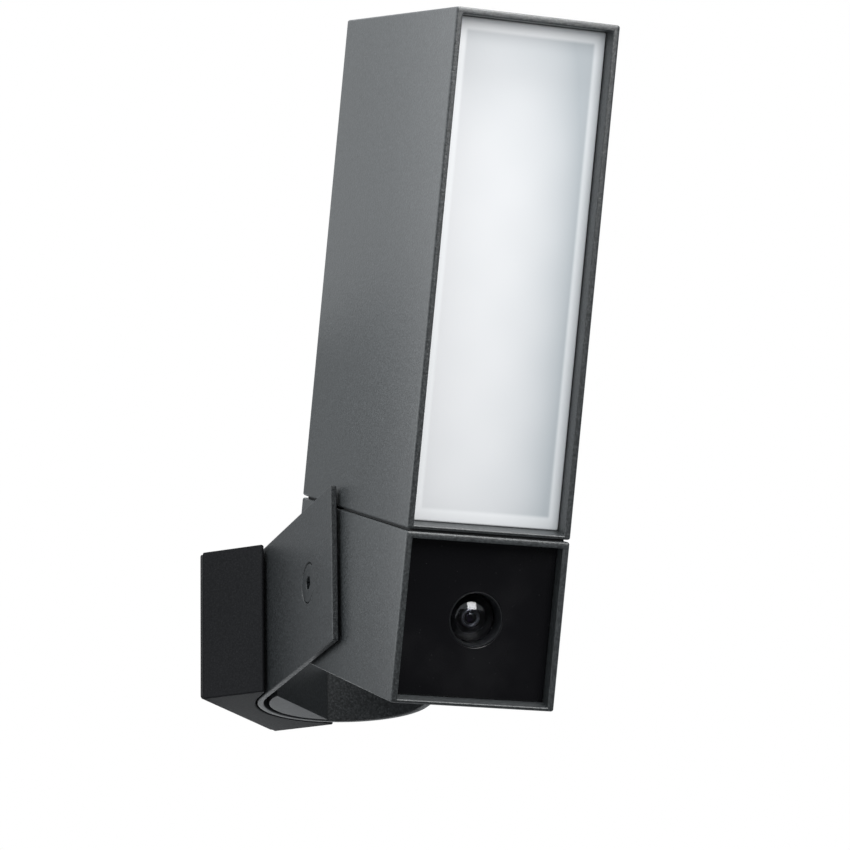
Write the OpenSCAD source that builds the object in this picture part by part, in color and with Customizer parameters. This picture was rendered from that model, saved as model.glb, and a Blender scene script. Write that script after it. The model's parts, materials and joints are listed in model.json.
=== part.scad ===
// Wall-mounted floodlight with a security camera under it, on a fork that pans and tilts.
// Row frame: origin at the middle of the wall face, +Y into the wall, +Z up, millimetres.

/* [Head] */
// Width of the head
head_w = 50; // [46:1:60]
// Height of the whole head, floodlight and camera together
head_h = 200; // [180:1:230]
// Depth of the head, front to back
head_d = 110; // [104:1:125]
// Height of the camera block at the bottom of the head
cam_h = 50; // [48:1:56]
// Thickness of the aluminium casing walls
casing_wall = 2; // [1.8:0.1:2.4]
// Radius of the casings' outer edges
edge_r = 0.7; // [0.4:0.1:0.9]
// How far the diffuser sits behind the front rim
light_recess = 5.4; // [4:0.1:7]
// How far the dark glass sits behind the front rim
glass_recess = 4.6; // [4:0.1:6]

/* [Lens] */
// Diameter of the lens opening in the dark glass
lens_mouth_d = 16.4; // [15:0.1:18]
// Diameter of the front lens
lens_d = 14.2; // [12:0.1:14.6]

/* [Fork] */
// Outer radius of the fork's round back, half its width
fork_r = 28; // [27.5:0.1:30]
// Thickness of the fork's band
fork_t = 2; // [1.6:0.1:2.2]
// Height of the fork and of the wall block
fork_h = 48.5; // [44:0.5:49]
// Distance from the pan axis to the tilt pivot
pan_to_pivot = 52.5; // [52:0.5:58]
// Length of the arms in front of the tilt pivot
arm_front = 25; // [18:0.5:30]

/* [Wall block] */
// Width of the wall block
block_w = 53; // [51:0.5:53.5]
// Depth of the wall block
block_d = 22.4; // [21:0.1:23]
// Distance from the wall to the pan axis
wall_to_pan = 38.7; // [38:0.1:40]
// Distance between the wall screws, sideways
screw_span_x = 38; // [34:1:40]
// Distance between the wall screws, up and down
screw_span_z = 34; // [30:1:36]

/* [Pose] */
// Pan of the fork as stored, turned to the left of the wall's normal
pan_rest = -48; // [-50:1:50]
// Tilt of the head as stored, leaning forward
tilt_rest = 21; // [-15:1:60]

/* [Light] */
// Rows of floodlight chips
led_rows = 6; // [4:1:8]
// Columns of floodlight chips
led_cols = 2; // [2:1:3]

/* [Hidden] */
$fn = 64;

eps = 0.01;          // overshoot of a cut past the face it opens
seam_gap = 0.6;      // gap between the floodlight block and the camera block
fit_gap = 0.08;      // radial clearance of the tilt pivots
bezel_sill = 0.9;    // fall of the sloping sill at the bottom of each recess
half_w = head_w / 2;
front_y = -(head_d - 25);            // the pivot is 25 from the back face
back_y = 25;
cam_bottom = -25;                    // and 25 above the bottom face
cam_top = cam_bottom + cam_h - seam_gap / 2;
light_bottom = cam_bottom + cam_h + seam_gap / 2;
light_top = cam_bottom + head_h;
inner_x = half_w - casing_wall;
fork_inner = fork_r - fork_t;
nest_r = fork_r + 0.6;
hub_r = fork_inner - 1.8;
hub_chord = 14.8;                    // from the pan axis to the hub's flat front
hub_half_h = fork_h / 2;
boss_x = 10.5;                       // half width of the hub's boss in the fork's slot
boss_z = 5.5;
slot_z = 6;                          // half height of the fork's slot
pan_limit = 50;                      // pan to either side, where the boss meets the slot's end
slot_angle = pan_limit + asin(boss_x / hub_r) + 1;
clamp_x = 8;                         // the clamp screws, either side of the lead's bore
lead_r = 3.5;                        // bore for the mains lead
diffuser_t = 3;
glass_t = 2;
diffuser_y = front_y + light_recess;
glass_y = front_y + glass_recess;
tray_y = diffuser_y + diffuser_t + 1;
tray_d = 14;
board_t = 1.6;
led_y = tray_y + tray_d;
window_x = half_w - casing_wall - 3.4;      // half width of the lit window in the tray
window_z0 = light_bottom + casing_wall + 3.6;
window_z1 = light_top - casing_wall - 3.4;
arm_y = -(pan_to_pivot + arm_front);
cap_r = 6.2;                         // head of the pivot screw
cap_t = 1.2;
shoulder_r = 4;
lens_depth = 4.4;                    // from the glass to the front lens's rim
barrel_r = 7.4;
filter_y = glass_y + 26;             // plane of the sliding filter
filter_travel = 7;                   // sideways, from day to night
cover_t = 2.5;                       // rear covers, 1 mm inside the casings' back edges
cover_y = back_y - 1;
cover_boss = 6;                      // from the casing's outside to its screw bosses, both ways
cover_plate = 1;                     // thickness of the card slot's cover
card_x = 5.5;
card_y = -31.5;
painted = [0.30, 0.31, 0.32];
dark_paint = [0.17, 0.18, 0.19];
rubber = [0.06, 0.06, 0.065];
steel = [0.62, 0.63, 0.65];
pcb = [0.05, 0.22, 0.12];

// ---------- frames ----------
module at_pan() translate([0, -wall_to_pan, 0]) rotate([0, 0, pan_rest]) children();
module at_axis() translate([0, -wall_to_pan, 0]) children();
module at_head() at_pan() translate([0, -pan_to_pivot, 0]) rotate([tilt_rest, 0, 0]) children();

// Drawn for the right side and mirrored for the left.
module to_side(s) {
    if (s > 0) children();
    else mirror([1, 0, 0]) children();
}

// ---------- shared shapes ----------
// Corner points of a rectangle with rounded corners, each a run of short flats.
function rounded(a0, a1, b0, b1, r, n = 3) = [
    for (c = [[a1 - r, b0 + r, -90], [a1 - r, b1 - r, 0], [a0 + r, b1 - r, 90], [a0 + r, b0 + r, 180]])
        for (k = [0 : n]) [c[0] + r * cos(c[2] + 90 * k / n), c[1] + r * sin(c[2] + 90 * k / n)]];
module along_x(x0, x1) translate([x0, 0, 0]) rotate([90, 0, 90]) linear_extrude(x1 - x0) children();
module along_y(y0, y1) translate([0, y1, 0]) rotate([90, 0, 0]) linear_extrude(y1 - y0) children();
module along_z(z0, z1) translate([0, 0, z0]) linear_extrude(z1 - z0) children();
module box(x0, x1, y0, y1, z0, z1) translate([x0, y0, z0]) cube([x1 - x0, y1 - y0, z1 - z0]);
// A block whose twelve edges are rounded: the overlap of three rounded prisms.
module soft_block(x0, x1, y0, y1, z0, z1, r) intersection() {
    along_x(x0, x1) polygon(rounded(y0, y1, z0, z1, r));
    along_y(y0, y1) polygon(rounded(x0, x1, z0, z1, r));
    along_z(z0, z1) polygon(rounded(x0, x1, y0, y1, r));
}
module rod_x(r, x0, x1) translate([x0, 0, 0]) rotate([0, 90, 0]) cylinder(r = r, h = x1 - x0);
module rod_y(r, y0, y1) translate([0, y1, 0]) rotate([90, 0, 0]) cylinder(r = r, h = y1 - y0);
module ring_y(ro, ri, y0, y1) difference() {
    rod_y(ro, y0, y1);
    rod_y(ri, y0 - eps, y1 + eps);
}
module ring_z(ro, ri, z0, z1) difference() {
    along_z(z0, z1) circle(ro);
    along_z(z0 - eps, z1 + eps) circle(ri);
}
// A pie slice about the pan axis, centred on the way to the wall, to cut rings into arcs.
module back_slice(half_angle, r) polygon(concat([[0, 0]],
    [for (k = [-6 : 6]) [r * sin(half_angle * k / 6), r * cos(half_angle * k / 6)] / cos(half_angle / 12)]));
// Flat frame in the XZ plane.
module frame_y(x, z0, z1, w, y0, y1) difference() {
    box(-x, x, y0, y1, z0, z1);
    box(-x + w, x - w, y0 - eps, y1 + eps, z0 + w, z1 - w);
}

// ---------- wall block ----------
module wall_block() color(dark_paint) difference() {
    soft_block(-block_w / 2, block_w / 2, -block_d, -1, -fork_h / 2, fork_h / 2, edge_r);
    at_axis() along_z(-fork_h, fork_h) circle(nest_r);
    for (s = [-1, 1]) at_axis() rotate([0, 0, s * pan_limit])
        box(-nest_r, nest_r, -block_w, 0, -fork_h, fork_h);
    difference() {
        box(-block_w / 2 + 2, block_w / 2 - 2, -block_d + 2.2, 1, -fork_h / 2 + 2, fork_h / 2 - 2);
        at_axis() along_z(-fork_h, fork_h) circle(nest_r + 2.2);
    }
    translate([0, -wall_to_pan, 0]) {
        rod_y(lead_r + 0.5, 20, 40);
        for (s = [-1, 1]) translate([s * clamp_x, 0, 0]) rod_y(1.25, 20, 40);
    }
    for (s = [-1, 1]) translate([s * 9, -3.6, 10]) cylinder(r = 1.7, h = fork_h);
}
module wall_plate() color(steel) difference() {
    union() {
        box(-block_w / 2 + 2.4, block_w / 2 - 2.4, -1.6, 0, -fork_h / 2 + 2.4, fork_h / 2 - 2.4);
        for (s = [-1, 1]) translate([s * 9, 0, fork_h / 2 - 5.2]) box(-3.5, 3.5, -6.6, -1.6 + eps, -2.8, 2.8);
        for (s = [-1, 1]) translate([s * 16, 0, -fork_h / 2 + 3.4]) box(-4, 4, -5.6, -1.6 + eps, -0.7, 0.7);
    }
    for (s = [-1, 1], t = [-1, 1])
        translate([s * screw_span_x / 2, 0, t * screw_span_z / 2]) rod_y(2.2, -3, 1);
    for (s = [-1, 1]) translate([s * 9, -3.6, 10]) cylinder(r = 1.25, h = fork_h);
    translate([0, 0, 13]) rod_y(5, -3, 1);
}
module wall_gasket() color(rubber) difference() {
    along_y(-1, 0)
        polygon(rounded(-block_w / 2 + 0.4, block_w / 2 - 0.4, -fork_h / 2 + 0.4, fork_h / 2 - 0.4, 1));
    box(-block_w / 2 + 2.4, block_w / 2 - 2.4, -2, 1, -fork_h / 2 + 2.4, fork_h / 2 - 2.4);
}
// Two screws down through the block's top wall into the plate's tabs.
module plate_screws() color(steel) for (s = [-1, 1]) translate([s * 9, -3.6, fork_h / 2]) difference() {
    union() {
        translate([0, 0, -8]) cylinder(r = 1.2, h = 6);
        translate([0, 0, -2.2]) cylinder(r = 1.65, h = 1.9);
    }
    translate([0, 0, -1.5]) cylinder(r = 0.9, h = 2, $fn = 6);
}
module terminal_block() color([0.86, 0.86, 0.84]) difference() {
    box(-14, 14, -6.2, -1.62, -18, -5);
    for (k = [-1 : 1]) translate([k * 8.5, 0, 0]) {
        for (z = [-8, -15]) translate([0, 0, z]) rod_y(1.6, -7, -4);
        translate([0, -4.2, -11.5]) cylinder(r = 1.2, h = 20, center = true);
    }
}
module terminal_screws() color([0.75, 0.62, 0.30]) for (k = [-1 : 1], z = [-8, -15])
    translate([k * 8.5, 0, z]) difference() {
        rod_y(1.5, -5.9, -5);
        box(-2, 2, -6, -5.6, -0.3, 0.3);
    }
module entry_grommet() color(rubber) translate([0, 0, 13]) difference() {
    union() {
        rod_y(5, -2.6, 0);
        rod_y(6.2, -2.6, -1.6);
    }
    rod_y(3.6, -3, 1);
}

// ---------- clamp in the fork's round back ----------
module clamp_hub() color(dark_paint) at_axis() difference() {
    union() {
        intersection() {
            along_z(-hub_half_h, hub_half_h) circle(hub_r);
            box(-hub_r, hub_r, hub_chord, hub_r, -hub_half_h, hub_half_h);
        }
        box(-boss_x, boss_x, hub_r - 4, sqrt(nest_r * nest_r - boss_x * boss_x) - 0.05, -boss_z, boss_z);
    }
    rod_y(lead_r + 0.7, hub_chord - 1, hub_chord + 3);
    rod_y(lead_r, 0, 40);
    for (s = [-1, 1]) translate([s * clamp_x, 0, 0]) {
        rod_y(1.5, 0, 40);
        rod_y(2.6, 0, hub_chord + 3.4);
    }
}
module hub_pad() color(rubber) at_axis() for (t = [-1, 1]) intersection() {
    ring_z(hub_r + 1.4, hub_r + 0.02,
        t > 0 ? slot_z + 2 : -hub_half_h + 4, t > 0 ? hub_half_h - 4 : -slot_z - 2);
    along_z(-hub_half_h, hub_half_h) back_slice(42, fork_r);
}
module nest_liner() color(rubber) at_axis() intersection() {
    ring_z(nest_r - 0.02, nest_r - 0.3, -hub_half_h + 2, hub_half_h - 2);
    difference() {
        along_z(-hub_half_h, hub_half_h) back_slice(48, fork_r * 1.2);
        box(-boss_x - 1.5, boss_x + 1.5, 0, 40, -boss_z - 1.5, boss_z + 1.5);
    }
}
module hub_grommet() color(rubber) at_axis() difference() {
    union() {
        rod_y(lead_r + 0.65, hub_chord - 0.8, hub_chord + 2.9);
        rod_y(lead_r + 1.7, hub_chord - 1.6, hub_chord);
    }
    rod_y(lead_r - 0.3, 0, 40);
}
module clamp_screws() color(steel) at_axis() for (s = [-1, 1])
    translate([s * clamp_x, hub_chord + 3.4, 0]) difference() {
        union() {
            rod_y(1.2, 0, 12.4);
            rod_y(2.45, -3, 0);
        }
        translate([0, -3 - eps, 0]) rotate([-90, 0, 0]) cylinder(r = 1.35, h = 1.8, $fn = 6);
    }

// ---------- fork ----------
module arm_bores(side) translate([0, -pan_to_pivot, 0]) {
    rod_x(shoulder_r + fit_gap, side * fork_r - 5, side * fork_r + 5);
    to_side(side) rod_x(cap_r + fit_gap, fork_r - cap_t, fork_r + 1);
}
module arm(s) {
    x0 = s > 0 ? fork_inner : -fork_r;
    x1 = s > 0 ? fork_r : -fork_inner;
    intersection() {
        box(x0, x1, arm_y, 0, -fork_h / 2, fork_h / 2);
        along_x(x0 - 1, x1 + 1) polygon(rounded(arm_y, 5, -fork_h / 2, fork_h / 2, 1));
        along_z(-fork_h, fork_h) polygon(rounded(x0, x1, arm_y, 5, 0.45));
    }
}
module fork() color(painted) at_pan() difference() {
    union() {
        intersection() {
            ring_z(fork_r, fork_inner, -fork_h / 2, fork_h / 2);
            box(-fork_r - 1, fork_r + 1, 0, fork_r + 1, -fork_h / 2, fork_h / 2);
        }
        for (s = [-1, 1]) arm(s);
    }
    intersection() {
        ring_z(fork_r + 2, fork_inner - 2, -slot_z, slot_z);
        along_z(-slot_z, slot_z) back_slice(slot_angle, fork_r * 1.3);
    }
    for (s = [-1, 1]) arm_bores(s);
}
module tilt_washer(s) color(rubber) at_pan() translate([0, -pan_to_pivot, 0]) difference() {
    rod_x(10, s > 0 ? fork_inner - 0.6 : -fork_inner, s > 0 ? fork_inner : -fork_inner + 0.6);
    rod_x(shoulder_r + 0.3, -fork_r - 5, fork_r + 5);
}

// ---------- tilt pivots ----------
module pivot_screw(s) color(painted) at_head() to_side(s) difference() {
    union() {
        rod_x(cap_r, fork_r - cap_t + 0.04, fork_r - 0.05);
        rod_x(shoulder_r, half_w + 0.05, fork_r - cap_t + 0.5);
        rod_x(3, half_w - 9, half_w + 0.05);
    }
    translate([fork_r - 2.6, 0, 0]) rotate([0, 90, 0]) cylinder(r = 2.3, h = 4, $fn = 6);
}
module pivot_insert(s) color(steel) at_head() to_side(s) difference() {
    union() {
        rod_x(6, half_w - 10, half_w - 0.05);
        rod_x(9, half_w - casing_wall - 2.5, half_w - casing_wall);
    }
    rod_x(3.05, half_w - 11, half_w + 1);
}

// ---------- floodlight block ----------
// Mouth of a recess: straight on three sides, with a sill that falls towards the front.
module recess_mouth(z0, z1, depth) along_x(-inner_x, inner_x)
    polygon([[front_y - 1, z0 - bezel_sill - bezel_sill / depth], [front_y + depth, z0],
        [front_y + depth, z1], [front_y - 1, z1]]);
// Round bosses in the corners behind a rear cover, for its four screws.
module cover_bosses(z0, z1) for (s = [-1, 1], z = [z0, z1])
    translate([s * (half_w - cover_boss), 0, z]) difference() {
        union() {
            rod_y(3.2, cover_y - cover_t - 9, cover_y - cover_t);
            box(s > 0 ? 0 : -5, s > 0 ? 5 : 0, cover_y - cover_t - 9, cover_y - cover_t, -1, 1);
        }
        rod_y(1.25, cover_y - cover_t - 8, cover_y);
    }
module rear_cover(z0, z1) difference() {
    along_y(cover_y - cover_t, cover_y) polygon(rounded(-inner_x + 0.1, inner_x - 0.1, z0, z1, 0.8));
    for (s = [-1, 1], z = [z0 + cover_boss - casing_wall, z1 - cover_boss + casing_wall])
        translate([s * (half_w - cover_boss), 0, z]) {
            rod_y(1.5, cover_y - cover_t - 1, cover_y + 1);
            rod_y(2.9, cover_y - 1.3, cover_y + 1);
        }
}
module cover_screws(z0, z1) for (s = [-1, 1], z = [z0, z1])
    translate([s * (half_w - cover_boss), 0, z]) difference() {
        union() {
            rod_y(1.2, cover_y - cover_t - 6, cover_y - 1);
            rod_y(2.7, cover_y - 1.28, cover_y + 0.3);
        }
        rotate([-90, 0, 0]) translate([0, 0, cover_y - 0.9]) cylinder(r = 1.3, h = 3, $fn = 6);
    }
module light_casing() color(painted) at_head() union() {
    difference() {
        soft_block(-half_w, half_w, front_y, back_y, light_bottom, light_top, edge_r);
        box(-inner_x, inner_x, front_y + light_recess - eps, back_y + 1, light_bottom + casing_wall,
            light_top - casing_wall);
        recess_mouth(light_bottom + casing_wall, light_top - casing_wall, light_recess);
        translate([0, -10, light_bottom - 1]) cylinder(r = 8.2, h = casing_wall + 2);
    }
    cover_bosses(light_bottom + cover_boss + 0.1, light_top - cover_boss - 0.1);
}
module light_rear_cover() color(painted) at_head()
    rear_cover(light_bottom + casing_wall + 0.1, light_top - casing_wall - 0.1);
module diffuser() color([0.93, 0.95, 0.96]) at_head()
    box(-inner_x + 0.15, inner_x - 0.15, diffuser_y, diffuser_y + diffuser_t,
        light_bottom + casing_wall + 0.15, light_top - casing_wall - 0.6);
module diffuser_seal() color(rubber) at_head()
    frame_y(inner_x - 0.15, light_bottom + casing_wall + 0.15, light_top - casing_wall - 0.15, 2.6,
        diffuser_y + diffuser_t + 0.02, tray_y);
module reflector_tray() color([0.96, 0.96, 0.95]) at_head() difference() {
    box(-inner_x + 0.1, inner_x - 0.1, tray_y, led_y, light_bottom + casing_wall + 0.1,
        light_top - casing_wall - 0.1);
    box(-window_x, window_x, tray_y - 1, led_y + 1, window_z0, window_z1);
    for (s = [-1, 1], z = [window_z0 + 6, window_z1 - 6])
        translate([s * (window_x + 1.4), 0, z]) rod_y(1.05, led_y - 8, led_y + 1);
}
module led_board() color([0.90, 0.91, 0.92]) at_head() difference() {
    box(-inner_x + 0.5, inner_x - 0.5, led_y, led_y + board_t, light_bottom + casing_wall + 0.5,
        light_top - casing_wall - 0.5);
    for (s = [-1, 1], z = [window_z0 + 6, window_z1 - 6])
        translate([s * (window_x + 1.4), 0, z]) rod_y(1.05, led_y - 1, led_y + 3);
}
module led_chips() color([0.98, 0.88, 0.45]) at_head()
    for (r = [0 : led_rows - 1], c = [0 : led_cols - 1])
        translate([(c - (led_cols - 1) / 2) * 18, led_y,
            window_z0 + (r + 0.5) * (window_z1 - window_z0) / led_rows]) box(-2.5, 2.5, -0.9, 0, -2.5, 2.5);
module heat_sink() color(steel) at_head() {
    y0 = led_y + board_t;
    difference() {
        union() {
            box(-inner_x + 0.6, inner_x - 0.6, y0, y0 + 3,
                light_bottom + casing_wall + 8, light_top - casing_wall - 2);
            for (k = [-4 : 4]) box(k * 5 - 0.7, k * 5 + 0.7, y0 + 3 - eps, y0 + 14,
                light_bottom + casing_wall + 8, light_top - casing_wall - 2);
        }
        for (s = [-1, 1], z = [window_z0 + 6, window_z1 - 6])
            translate([s * (window_x + 1.4), 0, z]) {
                rod_y(1.1, y0 - 1, y0 + 4);
                rod_y(2.7, y0 + 3, y0 + 20);
            }
    }
}
module tray_screws() color(steel) at_head()
    for (s = [-1, 1], z = [window_z0 + 6, window_z1 - 6])
        translate([s * (window_x + 1.4), led_y + board_t + 3, z]) {
            rod_y(1, -11, 0);
            rod_y(1.8, 0, 1.8);
        }
module driver_board() color(pcb) at_head() difference() {
    box(-18, -18 + board_t, -38, 10, light_bottom + 14, light_top - 20);
    for (y = [-33, 5], z = [light_bottom + 19, light_top - 25]) translate([0, y, z]) rod_x(1.6, -30, 0);
}
module driver_posts() color(steel) at_head()
    for (y = [-33, 5], z = [light_bottom + 19, light_top - 25]) translate([0, y, z]) {
        rod_x(3, -inner_x, -18);
        rod_x(1.5, -18, -18 + board_t);
        rod_x(2.6, -18 + board_t, -18 + board_t + 1.4);
    }
module driver_parts() color([0.20, 0.20, 0.22]) at_head() translate([-18 + board_t, 0, 0]) {
    box(0, 18, -26, -6, light_bottom + 66, light_bottom + 90);
    box(0, 12, -4, 8, light_bottom + 40, light_bottom + 56);
    box(0, 6, -30, -18, light_bottom + 30, light_bottom + 44);
    box(0, 4, -28, 4, light_bottom + 26, light_bottom + 28);
    translate([0, -20, light_bottom + 100]) rod_x(6.5, 0, 24);
    translate([0, -4, light_bottom + 102]) rod_x(5, 0, 20);
    translate([0, 6, light_bottom + 76]) rod_x(4, 0, 14);
}

// ---------- joint between the two blocks ----------
module seam_gasket() color(rubber) at_head() difference() {
    along_z(cam_top + 0.02, light_bottom - 0.02)
        polygon(rounded(-half_w + 1.3, half_w - 1.3, front_y + 1.3, back_y - 1.3, 1));
    translate([0, -10, 0]) cylinder(r = 8.2, h = 60);
}
module neck_tube() color(steel) at_head() translate([0, -10, 0])
    ring_z(8, 6, cam_top - casing_wall - 6, light_bottom + casing_wall + 6);
module neck_nuts() color(steel) at_head()
    for (z = [light_bottom + casing_wall, cam_top - casing_wall - 4]) translate([0, -10, z]) difference() {
        cylinder(r = 12, h = 4, $fn = 6);
        translate([0, 0, -1]) cylinder(r = 8.03, h = 6);
    }

// ---------- camera block ----------
module camera_casing() color(painted) at_head() union() {
    difference() {
        soft_block(-half_w, half_w, front_y, back_y, cam_bottom, cam_top, edge_r);
        box(-inner_x, inner_x, front_y + glass_recess - eps, back_y + 1, cam_bottom + casing_wall,
            cam_top - casing_wall);
        recess_mouth(cam_bottom + casing_wall, cam_top - casing_wall, glass_recess);
        translate([0, -10, cam_top - casing_wall - 1]) cylinder(r = 8.2, h = casing_wall + 2);
        rod_x(6.02, -half_w - 1, half_w + 1);
        box(card_x - 6.5, card_x + 6.5, card_y - 2, card_y + 2, cam_bottom - 1, cam_bottom + 3);
        for (s = [-1, 1]) translate([card_x + s * 9.5, card_y, cam_bottom])
            cylinder(r = 0.9, h = 6, center = true);
    }
    cover_bosses(cam_bottom + cover_boss + 0.1, cam_top - cover_boss - 0.1);
}
module camera_rear_cover() color(painted) at_head() difference() {
    rear_cover(cam_bottom + casing_wall + 0.1, cam_top - casing_wall - 0.1);
    rod_y(6.5, back_y - casing_wall - 5, back_y + 1);
}
module rear_cover_screws() color(steel) at_head() {
    cover_screws(light_bottom + cover_boss + 0.1, light_top - cover_boss - 0.1);
    cover_screws(cam_bottom + cover_boss + 0.1, cam_top - cover_boss - 0.1);
}
// Thin cover over the card slot, on the bottom of the camera block.
module card_cover() color(painted) at_head() difference() {
    along_z(cam_bottom - cover_plate, cam_bottom - 0.02) translate([card_x, card_y])
        polygon(rounded(-12.5, 12.5, -4, 4, 2));
    for (s = [-1, 1]) translate([card_x + s * 9.5, card_y, cam_bottom]) {
        cylinder(r = 0.95, h = 4, center = true);
        translate([0, 0, -cover_plate]) cylinder(r = 1.6, h = 1, center = true);
    }
}
module card_cover_screws() color(steel) at_head() for (s = [-1, 1])
    translate([card_x + s * 9.5, card_y, cam_bottom]) difference() {
        union() {
            translate([0, 0, -cover_plate + 0.5]) cylinder(r = 0.85, h = 4.6);
            translate([0, 0, -cover_plate + 0.05]) cylinder(r = 1.5, h = 0.45);
        }
        translate([0, 0, -cover_plate]) cylinder(r = 0.6, h = 0.8, center = true, $fn = 6);
    }
module camera_glass() color([0.03, 0.03, 0.035]) at_head() difference() {
    box(-inner_x + 0.1, inner_x - 0.1, glass_y, glass_y + glass_t, cam_bottom + casing_wall + 0.1,
        cam_top - casing_wall - 0.1);
    rod_y(lens_mouth_d / 2, glass_y - 1, glass_y + glass_t + 1);
}
module glass_seal() color(rubber) at_head()
    frame_y(inner_x - 0.15, cam_bottom + casing_wall + 0.15, cam_top - casing_wall - 0.15, 2.4,
        glass_y + glass_t + 0.02, glass_y + glass_t + 1.2);
module lens_bezel() color([0.10, 0.10, 0.11]) at_head() difference() {
    union() {
        rod_y(lens_mouth_d / 2 - 0.03, glass_y, glass_y + glass_t);
        rod_y(lens_mouth_d / 2 + 1.6, glass_y + glass_t + 0.02, glass_y + lens_depth + 2);
    }
    translate([0, glass_y + lens_depth, 0]) rotate([90, 0, 0])
        cylinder(r1 = lens_d / 2 + 0.05, r2 = lens_mouth_d / 2 - 0.35, h = lens_depth + eps);
    rod_y(lens_d / 2 + 0.05, glass_y + lens_depth - eps, glass_y + lens_depth + 3);
}
// The front lens: a shallow cap on a short drum.
module lens_dome() color([0.05, 0.05, 0.07]) at_head() {
    cap_h = 2.6;
    ball_r = (lens_d * lens_d / 4 + cap_h * cap_h) / (2 * cap_h);
    rim_y = glass_y + lens_depth;
    union() {
        rod_y(lens_d / 2, rim_y, rim_y + 2);
        intersection() {
            translate([0, rim_y - cap_h + ball_r, 0]) sphere(r = ball_r, $fn = 96);
            rod_y(lens_d / 2, rim_y - cap_h, rim_y + eps);
        }
    }
}
module lens_barrel() color([0.12, 0.12, 0.13]) at_head() difference() {
    union() {
        rod_y(barrel_r, glass_y + lens_depth + 2.05, filter_y - 3);
        rod_y(9.5, glass_y + lens_depth + 2.05, glass_y + lens_depth + 4);
        box(-12, 12, filter_y - 5, filter_y - 1.5, -12, 12);
    }
    rod_y(barrel_r - 1.6, glass_y, filter_y);
}
module lens_group() color([0.55, 0.62, 0.70]) at_head() for (k = [0 : 2])
    rod_y(barrel_r - 1.65, glass_y + lens_depth + 4 + 4.5 * k, glass_y + lens_depth + 6 + 4.5 * k);
// Carrier in which the day and night filter slides sideways.
module filter_frame() color([0.14, 0.14, 0.15]) at_head() difference() {
    box(-12, 12, filter_y - 1.48, filter_y + 1.5, -8, 8);
    box(-4, filter_travel + 4, filter_y - 0.65, filter_y + 0.65, -4.35, 4.35);
    rod_y(2.9, filter_y - 3, filter_y + 3);
}
module ir_cut_filter() color([0.55, 0.20, 0.35]) at_head()
    box(-3.6, 3.6, filter_y - 0.35, filter_y + 0.35, -4, 4);
module sensor_board() color(pcb) at_head() difference() {
    box(-16, 16, filter_y + 3.6, filter_y + 3.6 + board_t, -16, 16);
    for (s = [-1, 1], t = [-1, 1]) translate([s * 13.5, 0, t * 13.5]) rod_y(1.2, filter_y, filter_y + 9);
}
module image_sensor() color([0.25, 0.27, 0.32]) at_head() box(-5, 5, filter_y + 1.55, filter_y + 3.58, -4, 4);
module ir_board() color(pcb) at_head() difference() {
    box(-19, 19, glass_y + 8, glass_y + 8 + board_t, -19, 18.5);
    rod_y(10, glass_y + 5, glass_y + 12);
}
module ir_emitters() color([0.16, 0.10, 0.18]) at_head() for (s = [-1, 1], t = [-1, 1])
    translate([s * 14.5, 0, t * 13.5]) rod_y(2.5, glass_y + 3.6, glass_y + 7.98);
module main_board() color(pcb) at_head() difference() {
    box(-19, 19, -34, -34 + board_t, -19, 18);
    for (s = [-1, 1], t = [-1, 1]) translate([s * 16, 0, t * 15.5]) rod_y(1.4, -36, -30);
}
module main_chips() color([0.10, 0.10, 0.11]) at_head() {
    box(-8, 8, -35.6, -34.02, -8, 8);
    box(-17, -10, -35.2, -34.02, -14, -2);
    box(10.5, 16, -36.5, -34.02, 2, 12);
    box(-16, -6, -32.38, -29, 4, 12);
}
module card_socket() color(steel) at_head() difference() {
    box(-2, 13, -32.38, -30.6, -18, -4);
    box(-0.5, 11.5, -32.1, -31, -19, -5);
}
module memory_card() color([0.08, 0.08, 0.09]) at_head() box(0, 11, -31.95, -31.15, -19.4, -5.4);
module antenna() color([0.75, 0.62, 0.30]) at_head() box(-22, -19.4, -30, 4, 14, 19);
module microphone() color(steel) at_head() translate([14, 0, 6.5])
    rod_y(2.2, glass_y + glass_t + 0.05, glass_y + 5);

// ---------- lead inlet in the back of the camera block ----------
module lead_gland() color(rubber) at_head() difference() {
    union() {
        rod_y(6.4, cover_y - cover_t - 4, cover_y + 2);
        translate([0, cover_y + 2, 0]) rotate([-90, 0, 0]) cylinder(r = 8.5, h = 5, $fn = 6);
        rod_y(6.4, cover_y + 6.9, cover_y + 8.5);
    }
    rod_y(lead_r - 0.2, back_y - 12, back_y + 12);
}
module gland_seal() color(rubber) at_head() ring_y(8.5, 6.45, cover_y + 0.02, cover_y + 1.98);

wall_block();
wall_plate();
wall_gasket();
plate_screws();
terminal_block();
terminal_screws();
entry_grommet();
clamp_hub();
hub_pad();
nest_liner();
hub_grommet();
clamp_screws();
fork();
tilt_washer(-1);  // tilt_washer_left
tilt_washer(1);  // tilt_washer_right
pivot_screw(-1);  // pivot_screw_left
pivot_screw(1);  // pivot_screw_right
pivot_insert(-1);  // pivot_insert_left
pivot_insert(1);  // pivot_insert_right
light_casing();
diffuser();
diffuser_seal();
reflector_tray();
led_board();
led_chips();
heat_sink();
tray_screws();
driver_board();
driver_parts();
driver_posts();
light_rear_cover();
seam_gasket();
neck_tube();
neck_nuts();
camera_rear_cover();
rear_cover_screws();
camera_casing();
camera_glass();
glass_seal();
lens_bezel();
lens_dome();
lens_barrel();
lens_group();
filter_frame();
ir_cut_filter();
sensor_board();
image_sensor();
ir_board();
ir_emitters();
main_board();
main_chips();
card_socket();
memory_card();
card_cover();
card_cover_screws();
antenna();
microphone();
lead_gland();
gland_seal();
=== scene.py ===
"""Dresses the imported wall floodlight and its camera: finished surfaces, materials, camera and stage."""
import json
import math

import bmesh
import bpy
import numpy as np
from bpy.props import FloatProperty, FloatVectorProperty, IntProperty, PointerProperty
from mathutils import Matrix, Vector


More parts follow.
